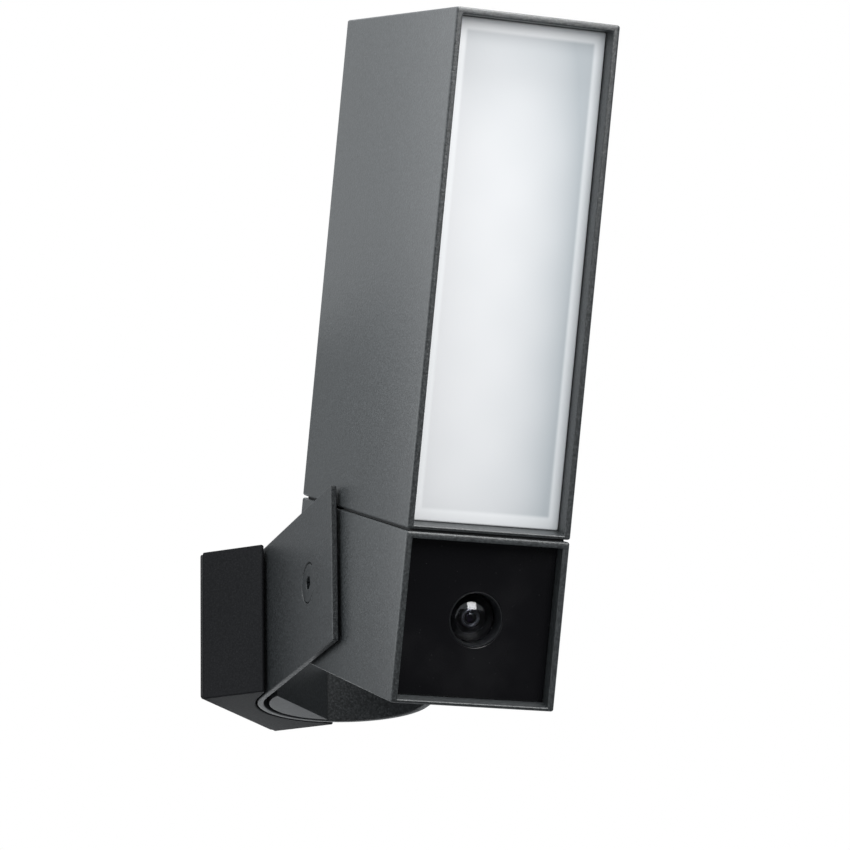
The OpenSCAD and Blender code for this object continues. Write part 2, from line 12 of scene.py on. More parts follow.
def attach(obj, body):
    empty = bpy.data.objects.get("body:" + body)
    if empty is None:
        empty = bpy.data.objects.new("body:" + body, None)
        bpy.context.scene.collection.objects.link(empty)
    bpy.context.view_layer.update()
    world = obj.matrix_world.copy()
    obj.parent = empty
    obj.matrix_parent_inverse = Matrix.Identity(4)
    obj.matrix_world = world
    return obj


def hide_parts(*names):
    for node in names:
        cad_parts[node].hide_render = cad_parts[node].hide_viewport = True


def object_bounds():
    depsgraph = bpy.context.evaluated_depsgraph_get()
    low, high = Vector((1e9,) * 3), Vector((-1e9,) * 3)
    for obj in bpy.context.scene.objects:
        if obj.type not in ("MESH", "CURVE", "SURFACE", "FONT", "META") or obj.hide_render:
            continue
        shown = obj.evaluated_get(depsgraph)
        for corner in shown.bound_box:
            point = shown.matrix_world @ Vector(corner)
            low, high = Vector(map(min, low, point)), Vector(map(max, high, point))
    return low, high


bl_info = {
    "name": "Floodlight Camera",
    "version": (1, 0, 0),
    "blender": (4, 5, 0),
    "location": "View3D > Sidebar > Floodlight Camera",
    "description": "Builds the visible pieces of a wall floodlight with a camera block under it",
    "category": "Object",
}

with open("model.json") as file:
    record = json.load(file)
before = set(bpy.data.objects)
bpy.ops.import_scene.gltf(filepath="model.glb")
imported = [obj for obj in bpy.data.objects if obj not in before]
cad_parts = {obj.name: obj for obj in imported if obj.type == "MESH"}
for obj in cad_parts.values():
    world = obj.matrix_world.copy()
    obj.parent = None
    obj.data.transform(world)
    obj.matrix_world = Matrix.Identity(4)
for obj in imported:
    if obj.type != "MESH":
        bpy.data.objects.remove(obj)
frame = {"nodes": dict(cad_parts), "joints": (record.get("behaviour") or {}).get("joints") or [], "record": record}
CAD_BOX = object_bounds()
NODES = frame["nodes"]
JOINT = {joint["name"]: joint for joint in frame["joints"]}
MOUNT = {mount["name"]: mount for mount in frame["record"]["mounts"]}
MM = 0.001

# Steps in the shapes
ARC_STEPS = 4
CORNER_STEPS = 6
RING_STEPS = 6
DOME_STEPS = 14
NEST_STEPS = 48
# Metres within which points are one, and the angles past which an edge shades sharp or is bevelled
WELD = 1e-6
SHARP_ANGLE = math.radians(35)
BEVEL_ANGLE = math.radians(32)
COPY_BEVEL_ANGLE = math.radians(40)
# Fits and small edges in millimetres
COVER_FIT = 0.1
DIFFUSER_FIT = 0.15
CAP_FIT = 0.12
INNER_EDGE = 0.35


def frame_matrix(x_axis, y_axis, origin):
    """4 by 4 matrix of a right-handed frame from two of its axes and its origin."""
    x = Vector(x_axis).normalized()
    z = x.cross(Vector(y_axis)).normalized()
    columns = Matrix((x, z.cross(x), z)).transposed().to_4x4()
    return Matrix.Translation(Vector(origin)) @ columns


# Three frames in millimetres: the wall's, the fork's at the pan axis, and the head's at the tilt axis.
PAN_AT = Vector(JOINT["pan"]["pos_m"]) / MM
TILT_AT = Vector(JOINT["tilt"]["pos_m"]) / MM
TILT_AXIS = Vector(JOINT["tilt"]["axis"])
WALL = frame_matrix((1, 0, 0), (0, 1, 0), PAN_AT)
FORK = frame_matrix(TILT_AXIS, Vector((0, 0, 1)).cross(TILT_AXIS), PAN_AT)
HEAD = frame_matrix(TILT_AXIS, MOUNT["lead_inlet"]["axis"], TILT_AT)


# ---- settings


def length(name, default, description, low=0.0, high=500.0):
    """A size in millimetres."""
    return FloatProperty(name=name, description=description, default=default, min=low, max=high)


def colour(name, default, description):
    """A linear colour."""
    return FloatVectorProperty(
        name=name, description=description, default=default, size=3, subtype="COLOR", min=0, max=1
    )


class HeadSizes(bpy.types.PropertyGroup):
    """Sizes of the head's two casings and what fills their fronts."""

    width: length("Width", 50.0, "Width of both casings")
    height: length("Height", 200.0, "Height of the two casings together")
    depth: length("Depth", 110.0, "Depth, front to back")
    behind: length("Behind the pivot", 25.0, "How much of the depth lies behind the tilt axis")
    below: length("Below the pivot", 25.0, "How much of the height lies below the tilt axis")
    camera_height: length("Camera block", 50.0, "Height of the camera's casing")
    gap: length("Seam", 0.6, "Gap between the two casings")
    wall: length("Wall", 2.0, "Thickness of the casings")
    edge: length("Edge", 0.7, "Radius of the casings' outer edges")
    light_recess: length("Light recess", 5.4, "Depth of the diffuser behind the front rim")
    glass_recess: length("Glass recess", 4.6, "Depth of the dark glass behind the front rim")
    sill: length("Sill", 0.9, "Fall of the sloping sill in front of each recess")
    cover_inset: length("Cover inset", 1.0, "How far the rear covers sit inside the casings")
    boss: length("Cover screws", 6.0, "Distance of a cover screw from the casing's outside")


class LensSizes(bpy.types.PropertyGroup):
    """Sizes of the camera's lens, which sits in the middle of the dark glass."""

    mouth: length("Mouth", 16.4, "Diameter of the opening in the dark glass")
    dome: length("Dome", 14.2, "Diameter of the front lens")
    dome_height: length("Dome height", 2.6, "How far the front lens bulges")
    depth: length("Depth", 4.4, "Distance from the glass back to the lens's rim")


class ForkSizes(bpy.types.PropertyGroup):
    """Sizes of the fork, of its pivots and of the wall block behind it."""

    radius: length("Radius", 28.0, "Outer radius of the round back")
    thickness: length("Thickness", 2.0, "Thickness of the band")
    height: length("Height", 48.5, "Height of the fork and of the wall block")
    pivot: length("Pivot", 52.5, "Distance from the pan axis to the tilt axis")
    front: length("Front", 25.0, "Length of the arms in front of the tilt axis")
    slot_half_height: length("Slot", 6.0, "Half height of the slot in the round back")
    slot_angle: FloatProperty(name="Slot angle", description="Half angle of the slot", default=78.0)
    pan_limit: FloatProperty(name="Pan limit", description="Pan to either side, degrees", default=50.0)
    cap: length("Pivot cap", 6.2, "Radius of the pivot screw's head")
    block_width: length("Block width", 53.0, "Width of the wall block")
    block_depth: length("Block depth", 22.4, "Depth of the wall block")
    nest: length("Nest gap", 0.6, "Gap between the round back and the block's nest")
    block_edge: length("Block edge", 0.5, "Radius of the wall block's edges")


class Colours(bpy.types.PropertyGroup):
    """Base colours of the finishes."""

    casing: colour("Casing paint", (0.031, 0.035, 0.037), "Powder coat on the head's casings")
    arm: colour("Fork paint", (0.029, 0.032, 0.034), "Powder coat on the fork")
    # The block's colour is the casing's powder coat at about half the brightness: painted shade for the block
    # beside the wall.
    block: colour("Block paint", (0.016, 0.0165, 0.018), "Powder coat on the wall block")
    diffuser: colour("Diffuser", (0.75, 0.755, 0.765), "Frosted diffuser")
    glass: colour("Dark glass", (0.006, 0.006, 0.007), "Black front glass")
    rubber: colour("Rubber", (0.018, 0.018, 0.019), "Seals and grommets")


class StageSettings(bpy.types.PropertyGroup):
    """Camera, floor and lights. Angles are in degrees, distances in metres."""

    azimuth: FloatProperty(name="Azimuth", description="Heading of the view from +Y to +X", default=66.88)
    rise: FloatProperty(name="Rise", description="How far the view looks up", default=17.57)
    roll: FloatProperty(name="Roll", description="Turn of the camera about its view", default=1.19)
    distance: FloatProperty(name="Distance", description="Camera to target", default=1.1888, unit="LENGTH")
    target: FloatVectorProperty(
        name="Target", description="Point in the middle of the view", default=(-0.00736, -0.07196, 0.06261),
        size=3, subtype="TRANSLATION", precision=5,
    )
    lens: FloatProperty(name="Lens", description="Focal length on a 36 mm sensor", default=155.62)
    floor_drop: FloatProperty(name="Floor", description="Floor below the object", default=2.0, unit="LENGTH")
    backdrop: FloatProperty(name="Backdrop", description="Brightness of the backdrop in view", default=1.0)
    room: FloatProperty(name="Room", description="Brightness of the room's light on the object", default=0.4)


class FloodlightSettings(bpy.types.PropertyGroup):
    """Everything that a user may change."""

    head: PointerProperty(type=HeadSizes)
    lens: PointerProperty(type=LensSizes)
    fork: PointerProperty(type=ForkSizes)
    colours: PointerProperty(type=Colours)
    stage: PointerProperty(type=StageSettings)
    round_steps: IntProperty(name="Round steps", description="Points round a full circle", default=96)


def settings():
    """The scene's settings for this object."""
    return bpy.context.scene.floodlight


# ---- surfaces


def grid_faces(rows, columns, wrap_rows, wrap_columns):
    """Quads of a grid of points numbered row by row, as one array."""
    r = np.arange(rows if wrap_rows else rows - 1)[:, None]
    c = np.arange(columns if wrap_columns else columns - 1)[None, :]
    r2, c2 = (r + 1) % rows, (c + 1) % columns
    corners = [r * columns + c, r * columns + c2, r2 * columns + c2, r2 * columns + c]
    return np.stack(corners, -1).reshape(-1, 4)


def loft(loops, closed=False, caps=True):
    """Points and faces of a surface through closed loops of points, shaped (loops, points, 3).

    closed joins the last loop to the first, and otherwise caps fill both ends with one face each."""
    rows, columns = loops.shape[:2]
    faces = grid_faces(rows, columns, closed, True).tolist()
    if caps and not closed:
        faces.append(list(range(columns)))
        faces.append(list(range((rows - 1) * columns, rows * columns)))
    return loops.reshape(-1, 3), faces


def joined(*parts):
    """Several (points, faces) as one."""
    points, faces, start = [], [], 0
    for part_points, part_faces in parts:
        points.append(part_points)
        faces += [[i + start for i in face] for face in part_faces]
        start += len(part_points)
    return np.concatenate(points), faces


def moved(part, x, y=0.0, z=0.0):
    """(points, faces) shifted by millimetres."""
    return part[0] + np.array([x, y, z]), part[1]


def sideways(part):
    """(points, faces) with X and Y swapped, so that a turned piece runs along X."""
    return part[0][:, [1, 0, 2]], part[1]


def rounded_rectangle(x0, x1, z0, z1, radius):
    """Closed loop in the XZ plane: four quarter circles of the radius, joined by straight sides."""
    turn = np.linspace(0, math.pi / 2, CORNER_STEPS + 1)
    left, right, low, high = x0 + radius, x1 - radius, z0 + radius, z1 - radius
    corners = []
    for x, z, quarters in ((right, low, -1), (right, high, 0), (left, high, 1), (left, low, 2)):
        angle = turn + quarters * math.pi / 2
        corners.append(np.stack([x + radius * np.cos(angle), 0 * angle, z + radius * np.sin(angle)], -1))
    return np.concatenate(corners)


def quarter(centre_a, centre_b, radius, start, end):
    """Points (a, b) on an arc: centre plus radius times (cos, sin), from start to end in degrees."""
    t = np.radians(np.linspace(start, end, ARC_STEPS + 1))
    return np.stack([centre_a + radius * np.cos(t), centre_b + radius * np.sin(t)], -1)


def carried(profile, x0, x1, z0, z1, radius):
    """A closed profile carried round a rounded rectangle.

    Each row of the profile is (inset at the sides and top, inset at the bottom, y): its loop is the
    rectangle shrunk by the insets, with the corner radius shrunk as well, at that y."""
    loops = []
    for side, bottom, y in profile:
        loop = rounded_rectangle(x0 + side, x1 - side, z0 + bottom, z1 - side, max(radius - side, 0.25))
        loop[:, 1] = y
        loops.append(loop)
    return np.array(loops)


def revolved(profile, steps=None):
    """Surface of revolution about Y. Each row of the profile is (radius, y) or (radius, y, hexagon).

    A point stands at radius times (cos, sin) of its angle. Where hexagon is 1 the radius is that of a
    hexagon's side at this angle, and between 0 and 1 it is the mix of circle and hexagon."""
    steps = steps or settings().round_steps
    t = np.linspace(0, 2 * math.pi, steps, endpoint=False)
    table = np.array([tuple(row) + (0.0,) * (3 - len(row)) for row in profile], float)
    hexagon = math.cos(math.pi / 6) / np.cos(np.mod(t, math.pi / 3) - math.pi / 6)
    radius = table[:, :1] * (1 + table[:, 2:] * (hexagon[None, :] - 1))
    return np.stack([radius * np.cos(t), np.repeat(table[:, 1:2], steps, 1), radius * np.sin(t)], -1)


def holed_cell(u0, u1, v0, v1, hole, half_u, half_v, corner, sides):
    """Flat ring of quads between a rectangle and a hole in it, as (u, v) loops from hole to rectangle.

    The rectangle's outline is cut into sides[0] and sides[1] equal steps. A point of it at (p, q), each
    from -1 to 1, meets the hole's outline at (p half_u, q half_v), pulled in round the hole's corners:
    its excess over (half - corner) is brought onto a circle of that corner radius. Rows between are a
    straight mix."""
    a = np.linspace(-1, 1, sides[0] + 1)
    b = np.linspace(-1, 1, sides[1] + 1)
    p = np.concatenate([a[:-1], np.full(sides[1], 1.0), a[:0:-1], np.full(sides[1], -1.0)])
    q = np.concatenate([np.full(sides[0], -1.0), b[:-1], np.full(sides[0], 1.0), b[:0:-1]])
    rect = np.stack([(u0 + u1) / 2 + p * (u1 - u0) / 2, (v0 + v1) / 2 + q * (v1 - v0) / 2], -1)
    if corner >= min(half_u, half_v) and half_u == half_v:
        angle = np.arctan2(q, p)
        inner = np.stack([half_u * np.cos(angle), half_v * np.sin(angle)], -1)
    else:
        inner = np.stack([p * half_u, q * half_v], -1)
        straight = np.array([half_u - corner, half_v - corner])
        over = np.maximum(np.abs(inner) - straight, 0)
        size = np.maximum(np.linalg.norm(over, axis=1, keepdims=True), 1e-9)
        both = (over > 0).all(axis=1, keepdims=True)
        pulled = np.sign(inner) * (straight + over / size * corner)
        inner = np.where(both, pulled, inner)
    inner = inner + np.array(hole)
    t = np.linspace(0, 1, RING_STEPS + 1)[:, None, None]
    return inner[None] * (1 - t) + rect[None] * t


def outline_prism(outline, z0, z1):
    """A closed outline of (x, y) points carried straight from z0 to z1, with a face on each end."""
    low = np.column_stack([outline, np.full(len(outline), z0)])
    high = np.column_stack([outline, np.full(len(outline), z1)])
    return loft(np.array([low, high]))


# ---- pieces


def soften(obj, width, segments, angle):
    """Bevels the edges that turn by more than the angle, to a width in millimetres."""
    edges = obj.modifiers.new("Edges", "BEVEL")
    edges.width = width * MM
    edges.segments = segments
    edges.limit_method = "ANGLE"
    edges.angle_limit = angle
    edges.harden_normals = True


def piece(name, part, place, body, replaces, slot, finish=None, bevel=0.0, solid=0.0, uv=None):
    """Makes a piece from (points, faces) in millimetres, in one of the frames, and puts it on its body.

    Its finish is its slot's, unless another is named. uv gives a point's Face coordinates."""
    points, faces = part
    mesh = bpy.data.meshes.new(name)
    mesh.from_pydata((points * MM).tolist(), [], faces)
    if not mesh.polygons or not np.isfinite(points).all():
        raise RuntimeError(name + " has no sound surface")
    scaled = place.copy()
    scaled.translation = place.translation * MM
    if uv is not None:
        layer = mesh.uv_layers.new(name="Face")
        corners = np.zeros(len(mesh.loops), np.int32)
        mesh.loops.foreach_get("vertex_index", corners)
        layer.data.foreach_set("uv", uv[corners].astype(np.float32).ravel())
    mesh.transform(scaled)
    work = bmesh.new()
    work.from_mesh(mesh)
    bmesh.ops.remove_doubles(work, verts=work.verts, dist=WELD)
    bmesh.ops.recalc_face_normals(work, faces=work.faces)
    work.to_mesh(mesh)
    work.free()
    mesh.update()
    obj = bpy.data.objects.new(name, mesh)
    bpy.context.scene.collection.objects.link(obj)
    mesh.polygons.foreach_set("use_smooth", np.ones(len(mesh.polygons), bool))
    if solid:
        shell = obj.modifiers.new("Thickness", "SOLIDIFY")
        shell.thickness = solid * MM
        shell.offset = 0
        shell.use_even_offset = True
    if bevel:
        soften(obj, bevel, 3, BEVEL_ANGLE)
    else:
        mesh.set_sharp_from_angle(angle=SHARP_ANGLE)
    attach(obj, body)
    if replaces:
        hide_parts(*replaces)
    mesh.materials.append(FINISHES[finish or slot])
    return obj


def head_turning(name, profile, replaces, slot, finish=None, closed=True):
    """A piece of the head revolved about the Y axis of the head's frame."""
    piece(name, loft(revolved(profile), closed), HEAD, "head", replaces, slot, finish)


def softened_copy(node, body, finish, bevel):
    """A CAD node's own shape, welded, with its flat faces joined and its edges softened."""
    points = np.array([v.co for v in NODES[node].data.vertices], float) / MM
    faces = [list(p.vertices) for p in NODES[node].data.polygons]
    name = node + "_finished"
    obj = piece(name, (points, faces), Matrix.Identity(4), body, (node,), slot_of(node), finish)
    work = bmesh.new()
    work.from_mesh(obj.data)
    bmesh.ops.dissolve_limit(work, angle_limit=math.radians(1), verts=work.verts, edges=work.edges)
    work.to_mesh(obj.data)
    work.free()
    obj.data.set_sharp_from_angle(angle=SHARP_ANGLE)
    soften(obj, bevel, 2, COPY_BEVEL_ANGLE)


def slot_of(node):
    """The record's material slot of a CAD node."""
    return next(s["material_slot"] for s in frame["record"]["subparts"] if s["node"] == node)


# ---- finishes


class Term:
    """A number made by nodes. Python's operators on it add Math nodes."""

    def __init__(self, maker, socket):
        self.maker = maker
        self.socket = socket

    def math(self, operation, *others):
        """Any Math node, with this number first."""
        return Term(self.maker, self.maker.add("Math", {"operation": operation}, self, *others).outputs[0])

    def __add__(self, other):
        return self.math("ADD", other)

    __radd__ = __add__

    def __mul__(self, other):
        return self.math("MULTIPLY", other)

    __rmul__ = __mul__

    def __sub__(self, other):
        return self.math("SUBTRACT", other)

    def __rsub__(self, other):
        return Term(self.maker, self.maker.add("Math", {"operation": "SUBTRACT"}, other, self).outputs[0])

    def __truediv__(self, other):
        return self.math("DIVIDE", other)

    def __pow__(self, other):
        return self.math("POWER", other)

    def __abs__(self):
        return self.math("ABSOLUTE")

    def above(self, low, high):
        """0 up to low, 1 from high, with a smooth rise between."""
        node = self.maker.add("MapRange", {"interpolation_type": "SMOOTHSTEP"}, self, low, high, 0.0, 1.0)
        return Term(self.maker, node.outputs[0])


class Finish:
    """One material: adds nodes and feeds its Principled shader."""

    def __init__(self, name):
        self.material = bpy.data.materials.new(name)
        self.material.use_nodes = True
        self.tree = self.material.node_tree
        self.shader = self.tree.nodes["Principled BSDF"]

    def add(self, kind, options=None, *values, **named):
        """Adds a node: its settings first, then the values or links of its sockets, by place or by name."""
        node = self.tree.nodes.new("ShaderNode" + kind)
        for key, value in (options or {}).items():
            setattr(node, key, value)
        for key, value in [*enumerate(values), *named.items()]:
            self.feed(node.inputs[key if isinstance(key, int) else key.replace("_", " ")], value)
        return node

    def feed(self, socket, value):
        """Links a Term or a socket, or sets a plain value."""
        if isinstance(value, Term):
            value = value.socket
        if isinstance(value, bpy.types.NodeSocket):
            self.tree.links.new(value, socket)
        else:
            socket.default_value = value

    def place(self):
        """The object's own coordinates, in metres."""
        return self.add("TexCoord").outputs["Object"]

    def noise(self, scale, detail=2.0, rough=0.5, vector=None):
        """Cloudy noise, about 0 to 1, with its features 1 / scale metres across."""
        at = vector or self.place()
        node = self.add("TexNoise", None, Vector=at, Scale=scale, Detail=detail, Roughness=rough)
        return Term(self, node.outputs["Fac"])

    def cells(self, scale):
        """Distance to the nearest of a scatter of points."""
        node = self.add("TexVoronoi", None, Vector=self.place(), Scale=scale)
        return Term(self, node.outputs["Distance"])

    def blend(self, factor, first, second):
        """A colour between two colours."""
        node = self.add("Mix", {"data_type": "RGBA"})
        for index, value in ((0, factor), (6, first), (7, second)):
            self.feed(node.inputs[index], value)
        return node.outputs[2]

    def relief(self, height, distance, strength=1.0):
        """A bump of the given height in metres."""
        return self.add("Bump", None, Height=height, Distance=distance, Strength=strength).outputs["Normal"]

    def surface(self, **sockets):
        """Sets the Principled shader's sockets and returns the material."""
        for key, value in sockets.items():
            self.feed(self.shader.inputs[key.replace("_", " ")], value)
        return self.material


def tint(base, factor):
    """A linear colour made lighter or darker, with full alpha."""
    return tuple(min(1.0, c * factor) for c in base[:3]) + (1.0,)


def powder_coat(name, base, rough=0.38, gloss=0.5, grit=1.0, size=0.75):
    """Fine powder coat: a grain of the given size in millimetres in height, tone and gloss, over slow
    drifts of tone. Grit is the strength of the grain."""
    f = Finish(name)
    grain = f.noise(1000 / size, 3.0, 0.7)
    peel = f.noise(500, 2.0)
    fleck = f.cells(1500)
    drift = f.noise(14, 2.0)
    tone = (drift - 0.5) * 0.5 + (grain - 0.5) * (2.7 * grit) + (0.4 - fleck) * (0.6 * grit) + 0.5
    return f.surface(
        Base_Color=f.blend(tone.above(0.0, 1.0), tint(base, 0.6), tint(base, 1.45)),
        Roughness=(grain - 0.5) * (0.35 * grit) + (drift - 0.5) * 0.05 + rough,
        Specular_IOR_Level=gloss,
        Coat_Weight=(grain - 0.2 - fleck * 0.3).above(0.1, 0.5) * (0.35 * grit),
        Coat_Roughness=0.4,
        Normal=f.relief(grain + peel * 0.5 - fleck * 0.4, 0.00014, 0.6 * grit),
    )


def rubber(name, base):
    """Moulded rubber: matt, with dusty patches and a soft mottled skin."""
    f = Finish(name)
    skin = f.noise(900, 3.0)
    dust = f.noise(60, 3.0).above(0.45, 0.75)
    return f.surface(
        Base_Color=f.blend(dust * 0.6 + skin * 0.2, tint(base, 0.8), tint(base, 2.2)),
        Roughness=dust * 0.1 + 0.68,
        Normal=f.relief(skin, 0.00006, 0.4),
    )


def moulded(name, base, rough=0.45):
    """Moulded plastic with a fine spark-eroded texture."""
    f = Finish(name)
    skin = f.noise(1800, 2.0)
    drift = f.noise(30, 2.0)
    return f.surface(
        Base_Color=f.blend(drift.above(0.2, 0.8), tint(base, 0.88), tint(base, 1.12)),
        Roughness=(skin - 0.5) * 0.15 + rough,
        Normal=f.relief(skin, 0.00003, 0.5),
    )


def worked_metal(name, base, rough=0.32, stretch=(1.0, 1.0, 18.0)):
    """Bare metal with fine lines where it was drawn or turned, and stains that change its gloss."""
    f = Finish(name)
    lines = f.noise(260, 3.0, 0.6, f.add("Mapping", None, f.place(), Scale=stretch).outputs[0])
    stain = f.noise(45, 3.0)
    return f.surface(
        Base_Color=f.blend(stain * 0.6 + lines * 0.4, tint(base, 0.78), tint(base, 1.08)),
        Metallic=1.0,
        Roughness=(lines - 0.5) * 0.22 + (stain - 0.5) * 0.2 + rough,
        Normal=f.relief(lines, 0.00003, 0.35),
    )


# Radians of the lamps' faint pattern over the casing's width and height
LAMP_WAVE_ACROSS = 12.56
LAMP_WAVE_UP = 37.7


def frosted_diffuser(name, base):
    """Frosted sheet over a lit box, with painted shade and a faint painted glow: bright in a border, and painted
    shade over the window's far side and ends.

    The Face coordinates run 0 to 1 across and up the casing. The border starts at a set distance from
    the middle each way. The painted shade rises as a power of the distance from the window's near side,
    and towards its top and bottom. Two cosines multiplied give faint spots, one for each lamp."""
    f = Finish(name)
    at = f.add("SeparateXYZ", None, f.add("UVMap", {"uv_map": "Face"}).outputs[0])
    across, up = Term(f, at.outputs[0]), Term(f, at.outputs[1])
    border = 1 - (1 - abs(across - 0.5).above(0.380, 0.402)) * (1 - abs(up - 0.5).above(0.457, 0.4655))
    # Painted shade: the window darkens towards its far side, its top and its bottom, where the recessed box behind
    # it is shaded.
    far = ((across - 0.25) / 0.63).math("MAXIMUM", 0.0) ** 2.6
    high = ((up - 0.6) / 0.4).math("MAXIMUM", 0.0) ** 2.0
    low = ((0.3 - up) / 0.3).math("MAXIMUM", 0.0) ** 1.5
    lamps = (across * LAMP_WAVE_ACROSS).math("COSINE") * (up * LAMP_WAVE_UP).math("COSINE")
    shade = (far + high * 0.5 + low * 0.12 - lamps * 0.025).math("MINIMUM", 1.0)
    grain = f.noise(2600, 2.0)
    # The window's colour runs from the diffuser's own to a blue-grey painted shade.
    window = f.blend(shade, tint(base, 1.0), (0.44, 0.475, 0.50, 1.0))
    # Painted shade: the border darkens from the middle of the casing towards its far side.
    rim = f.blend(across.above(0.5, 1.1), (0.85, 0.86, 0.87, 1.0), (0.62, 0.65, 0.67, 1.0))
    face = f.blend(border, window, rim)
    return f.surface(
        Base_Color=face,
        Roughness=(grain - 0.5) * 0.12 + 0.42,
        Specular_IOR_Level=0.3,
        # Painted glow: the unlit diffuser gives off a little of its own colour, to keep it bright.
        Emission_Color=face,
        Emission_Strength=0.06,
        Normal=f.relief(grain, 0.00002, 0.3),
    )


def dark_glass(name, base):
    """Black glass with a polished face, faint cloudy smears and a few specks of dust."""
    f = Finish(name)
    smear = f.noise(38, 3.0, 0.6).above(0.45, 0.8)
    dust = (1 - f.cells(420)).above(0.93, 0.97)
    return f.surface(
        Base_Color=f.blend(dust * 0.35 + smear * 0.1, tint(base, 1.0), (0.05, 0.05, 0.052, 1.0)),
        Roughness=smear * 0.10 + dust * 0.3 + 0.12,
        IOR=1.5,
        Coat_Weight=0.12,
        Coat_Roughness=0.04,
        Specular_IOR_Level=0.25,
    )


def clear_lens(name):
    """Front lens of clear glass with a dark coating, a little smeared."""
    f = Finish(name)
    smear = f.noise(160, 3.0).above(0.4, 0.8)
    return f.surface(
        Base_Color=f.blend(smear, (0.55, 0.56, 0.60, 1.0), (0.45, 0.47, 0.52, 1.0)),
        Roughness=smear * 0.02 + 0.01,
        Transmission_Weight=1.0,
        IOR=1.7,
    )


def coated_glass(name, base):
    """Inner lens seen as a dark pool with a violet or green coating that drifts over it."""
    f = Finish(name)
    drift = f.noise(220, 1.0)
    return f.surface(
        Base_Color=f.blend(drift.above(0.3, 0.7), tint(base, 1.0), (0.03, 0.07, 0.05, 1.0)),
        Roughness=drift * 0.03 + 0.03,
        Coat_Weight=1.0,
    )


def circuit_board(name, base):
    """Solder mask over copper: rows of tracks with pads."""
    f = Finish(name)
    brick = f.add("TexBrick", None, Vector=f.place(), Scale=240.0, Mortar_Size=0.03)
    track = Term(f, brick.outputs["Fac"])
    pad = (0.35 - f.cells(420)).above(0.0, 0.05)
    return f.surface(
        Base_Color=f.blend(pad, f.blend(track, tint(base, 1.0), tint(base, 1.9)), (0.78, 0.63, 0.32, 1.0)),
        Metallic=pad,
        Roughness=0.45 - pad * 0.15,
        Normal=f.relief(track + pad, 0.00003, 0.6),
    )


def phosphor(name):
    """Yellow phosphor under clear silicone, with a grainy fill."""
    f = Finish(name)
    grain = f.noise(2400, 2.0)
    return f.surface(
        Base_Color=f.blend(grain, (0.85, 0.62, 0.12, 1.0), (0.95, 0.80, 0.30, 1.0)),
        Roughness=grain * 0.2 + 0.2,
        Coat_Weight=0.6,
    )


FINISHES = {}


def make_finishes():
    """All finishes by the names that the pieces ask for."""
    c = settings().colours
    FINISHES.update(
        paint_casing=powder_coat("casing_powder_coat", c.casing, gloss=0.9),
        paint_arm=powder_coat("fork_powder_coat", c.arm, gloss=0.66),
        # A darker, nearly matt copy of the casing's powder coat: painted shade on the block beside the wall.
        paint_block=powder_coat("block_coat_with_painted_shade", c.block, rough=0.5, gloss=0.06, grit=0.35, size=0.5),
        paint_hub=powder_coat("hub_powder_coat", c.arm, gloss=0.3, grit=0.5),
        pivot_paint=powder_coat("pivot_powder_coat", c.arm, rough=0.34, grit=0.7),
        rubber=rubber("seal_rubber", c.rubber),
        black_nylon=moulded("black_nylon", (0.018, 0.018, 0.020)),
        zinc_steel=worked_metal("zinc_plated_steel", (0.62, 0.62, 0.60)),
        brass=worked_metal("brass", (0.75, 0.56, 0.24), 0.28),
        white_nylon=moulded("white_nylon", (0.80, 0.80, 0.77), 0.4),
        diffuser_frost=frosted_diffuser("frosted_diffuser", c.diffuser),
        reflector_white=moulded("reflector_white", (0.86, 0.86, 0.84), 0.5),
        led_board_white=moulded("white_solder_mask", (0.82, 0.83, 0.83), 0.35),
        led_phosphor=phosphor("led_phosphor"),
        cast_aluminium=worked_metal("extruded_aluminium", (0.72, 0.72, 0.73), 0.38),
        circuit_board=circuit_board("green_circuit_board", (0.012, 0.11, 0.045)),
        chip_black=moulded("chip_epoxy", (0.022, 0.022, 0.024), 0.5),
        black_glass=dark_glass("dark_front_glass", c.glass),
        bezel_black=moulded("bezel_black", (0.014, 0.015, 0.017), 0.34),
        lens_ring=worked_metal("lens_ring", (0.75, 0.75, 0.77), 0.3, (1.0, 1.0, 1.0)),
        lens_glass=coated_glass("coated_lens", (0.035, 0.012, 0.05)),
        baffle_black=moulded("lens_baffle", (0.006, 0.006, 0.007), 0.5),
        clear_lens=clear_lens("clear_lens"),
    )


# ---- the head


def head_box(block):
    """(x0, x1, z0, z1) of a casing's outside in the head's frame; block is light or camera."""
    h = settings().head
    x = h.width / 2
    split = h.camera_height - h.below
    if block == "light":
        return -x, x, split + h.gap / 2, h.height - h.below
    return -x, x, -h.below, split - h.gap / 2


def casing_part(block, recess):
    """Tube wall of a casing: its closed section runs back along the outside, round the front rim, down
    the sloping mouth of the recess and back inside to the rear rim, with every edge a quarter circle."""
    h = settings().head
    front, back, edge, inner = -(h.depth - h.behind), h.behind, h.edge, INNER_EDGE
    behind_recess, before_back = 6, 12
    rows = [(a, a, y) for a, y in quarter(edge, back - edge, edge, 90, 180)]
    rows += [(a, a, y) for a, y in quarter(edge, front + edge, edge, 180, 270)]
    rows += [(a, a - h.sill, y) for a, y in quarter(h.wall - inner, front + inner, inner, -90, 0)]
    for y in (front + recess, front + recess + behind_recess, back - before_back):
        rows.append((h.wall, h.wall, y))
    rows += [(a, a, y) for a, y in quarter(h.wall - inner, back - inner, inner, 0, 90)]
    return loft(carried(rows, *head_box(block), edge + 0.05), closed=True)


class FLOOD_OT_casings(bpy.types.Operator):
    """Makes the painted casings of the floodlight and of the camera"""

    bl_idname = "floodlight.casings"
    bl_label = "Casings"

    def execute(self, context):
        h = settings().head
        for block, recess in (("light", h.light_recess), ("camera", h.glass_recess)):
            piece(block + "_casing_shell", casing_part(block, recess), HEAD, "head", (block + "_casing",),
                  "paint_casing")
        return {"FINISHED"}


